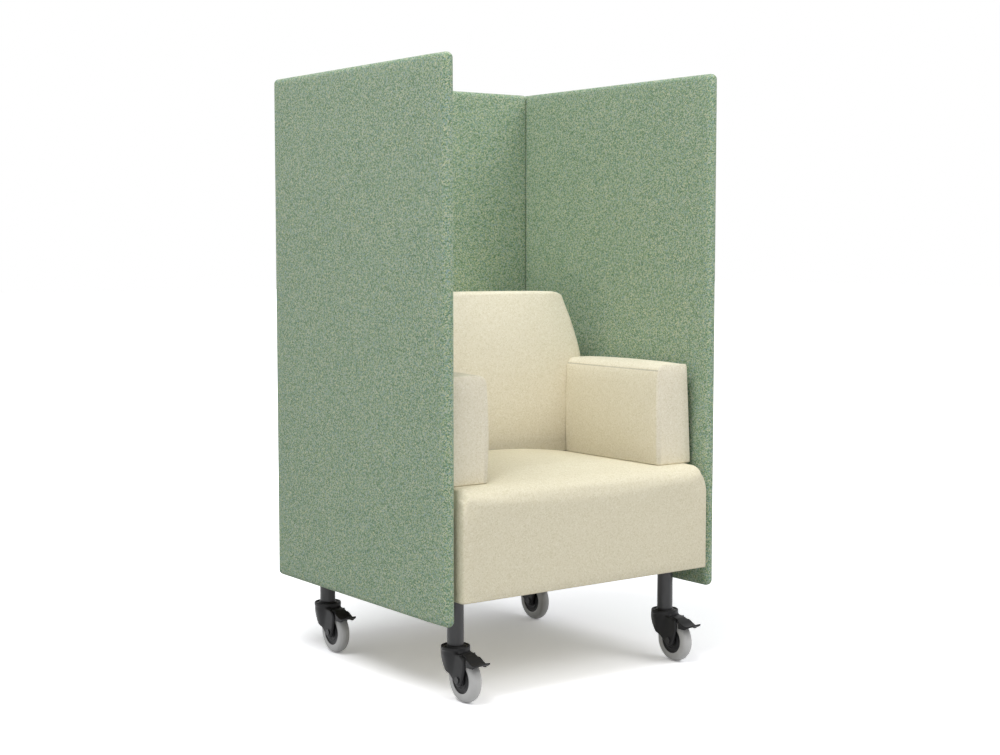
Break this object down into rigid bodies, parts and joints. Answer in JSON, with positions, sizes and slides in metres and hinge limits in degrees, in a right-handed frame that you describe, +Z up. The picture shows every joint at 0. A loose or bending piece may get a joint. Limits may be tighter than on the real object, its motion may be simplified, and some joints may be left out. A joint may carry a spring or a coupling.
{
  "type": "acoustic high back lounge chair",
  "caption": "Upholstered lounge armchair on braked swivel castors, enclosed on three sides by tall padded acoustic screens.",
  "frame": {"origin": "on the floor, at the centre of the bounding box's base", "axes": "+Z up, the sitter faces -Y, +X towards the right-hand screen seen from the front"},
  "size_m": [0.756, 0.745, 1.35],
  "materials": {
    "cream_fabric": "woven wool-look upholstery, warm cream, matte",
    "green_fabric": "flecked sage green upholstery, matte",
    "wood_board": "plain plywood and particle board",
    "black_metal": "black powder coat, satin",
    "black_plastic": "black moulded plastic, satin",
    "grey_tyre": "light grey tread, matte",
    "bright_steel": "zinc plated steel"
  },
  "bodies": {
    "chair": {"screen_left": "green_fabric", "screen_right": "green_fabric", "screen_back": "green_fabric", "screen_left_board": "wood_board", "screen_right_board": "wood_board", "screen_back_board": "wood_board", "screen_bolts": "bright_steel", "screen_spacers": "black_plastic", "corner_screws": "bright_steel", "seat_pad": "cream_fabric", "base_board": "wood_board", "rail_front": "wood_board", "rail_rear": "wood_board", "rail_left": "wood_board", "rail_right": "wood_board", "seat_deck": "wood_board", "arm_left_pad": "cream_fabric", "arm_right_pad": "cream_fabric", "arm_left_core": "wood_board", "arm_right_core": "wood_board", "arm_screws": "bright_steel", "backrest_pad": "cream_fabric", "back_frame": "wood_board", "plate_screws": "bright_steel", "leg_front_left": "black_metal", "leg_front_right": "black_metal", "leg_rear_left": "black_metal", "leg_rear_right": "black_metal", "castor_front_left_stem": "bright_steel", "castor_front_right_stem": "bright_steel", "castor_rear_left_stem": "bright_steel", "castor_rear_right_stem": "bright_steel"},
    "swivel_front_left": {"castor_front_left_fork": "black_plastic", "castor_front_left_bearing": "bright_steel", "castor_front_left_axle": "black_metal"},
    "wheel_front_left": {"castor_front_left_hub": "black_plastic", "castor_front_left_tyre": "grey_tyre"},
    "brake_front_left": {"castor_front_left_pedal": "black_plastic"},
    "swivel_front_right": {"castor_front_right_fork": "black_plastic", "castor_front_right_bearing": "bright_steel", "castor_front_right_axle": "black_metal"},
    "wheel_front_right": {"castor_front_right_hub": "black_plastic", "castor_front_right_tyre": "grey_tyre"},
    "brake_front_right": {"castor_front_right_pedal": "black_plastic"},
    "swivel_rear_left": {"castor_rear_left_fork": "black_plastic", "castor_rear_left_bearing": "bright_steel", "castor_rear_left_axle": "black_metal"},
    "wheel_rear_left": {"castor_rear_left_hub": "black_plastic", "castor_rear_left_tyre": "grey_tyre"},
    "brake_rear_left": {"castor_rear_left_pedal": "black_plastic"},
    "swivel_rear_right": {"castor_rear_right_fork": "black_plastic", "castor_rear_right_bearing": "bright_steel", "castor_rear_right_axle": "black_metal"},
    "wheel_rear_right": {"castor_rear_right_hub": "black_plastic", "castor_rear_right_tyre": "grey_tyre"},
    "brake_rear_right": {"castor_rear_right_pedal": "black_plastic"}
  },
  "joints": [
    {"name": "swivel_front_left_turn", "type": "hinge", "parent": "chair", "child": "swivel_front_left", "pos_m": [-0.2975, -0.262, 0.1], "axis": [0, 0, 1], "continuous": true},
    {"name": "wheel_front_left_spin", "type": "hinge", "parent": "swivel_front_left", "child": "wheel_front_left", "pos_m": [-0.2975, -0.298, 0.05], "axis": [1, 0, 0], "continuous": true},
    {"name": "brake_front_left_press", "type": "hinge", "parent": "swivel_front_left", "child": "brake_front_left", "pos_m": [-0.2975, -0.304, 0.106], "axis": [1, 0, 0], "range_deg": [0, 8]},
    {"name": "swivel_front_right_turn", "type": "hinge", "parent": "chair", "child": "swivel_front_right", "pos_m": [0.2975, -0.262, 0.1], "axis": [0, 0, 1], "continuous": true},
    {"name": "wheel_front_right_spin", "type": "hinge", "parent": "swivel_front_right", "child": "wheel_front_right", "pos_m": [0.2975, -0.298, 0.05], "axis": [1, 0, 0], "continuous": true},
    {"name": "brake_front_right_press", "type": "hinge", "parent": "swivel_front_right", "child": "brake_front_right", "pos_m": [0.2975, -0.304, 0.106], "axis": [1, 0, 0], "range_deg": [0, 8]},
    {"name": "swivel_rear_left_turn", "type": "hinge", "parent": "chair", "child": "swivel_rear_left", "pos_m": [-0.2975, 0.273, 0.1], "axis": [0, 0, 1], "continuous": true},
    {"name": "wheel_rear_left_spin", "type": "hinge", "parent": "swivel_rear_left", "child": "wheel_rear_left", "pos_m": [-0.2975, 0.237, 0.05], "axis": [1, 0, 0], "continuous": true},
    {"name": "brake_rear_left_press", "type": "hinge", "parent": "swivel_rear_left", "child": "brake_rear_left", "pos_m": [-0.2975, 0.231, 0.106], "axis": [1, 0, 0], "range_deg": [0, 8]},
    {"name": "swivel_rear_right_turn", "type": "hinge", "parent": "chair", "child": "swivel_rear_right", "pos_m": [0.2975, 0.273, 0.1], "axis": [0, 0, 1], "continuous": true},
    {"name": "wheel_rear_right_spin", "type": "hinge", "parent": "swivel_rear_right", "child": "wheel_rear_right", "pos_m": [0.2975, 0.237, 0.05], "axis": [1, 0, 0], "continuous": true},
    {"name": "brake_rear_right_press", "type": "hinge", "parent": "swivel_rear_right", "child": "brake_rear_right", "pos_m": [0.2975, 0.231, 0.106], "axis": [1, 0, 0], "range_deg": [0, 8]}
  ]
}
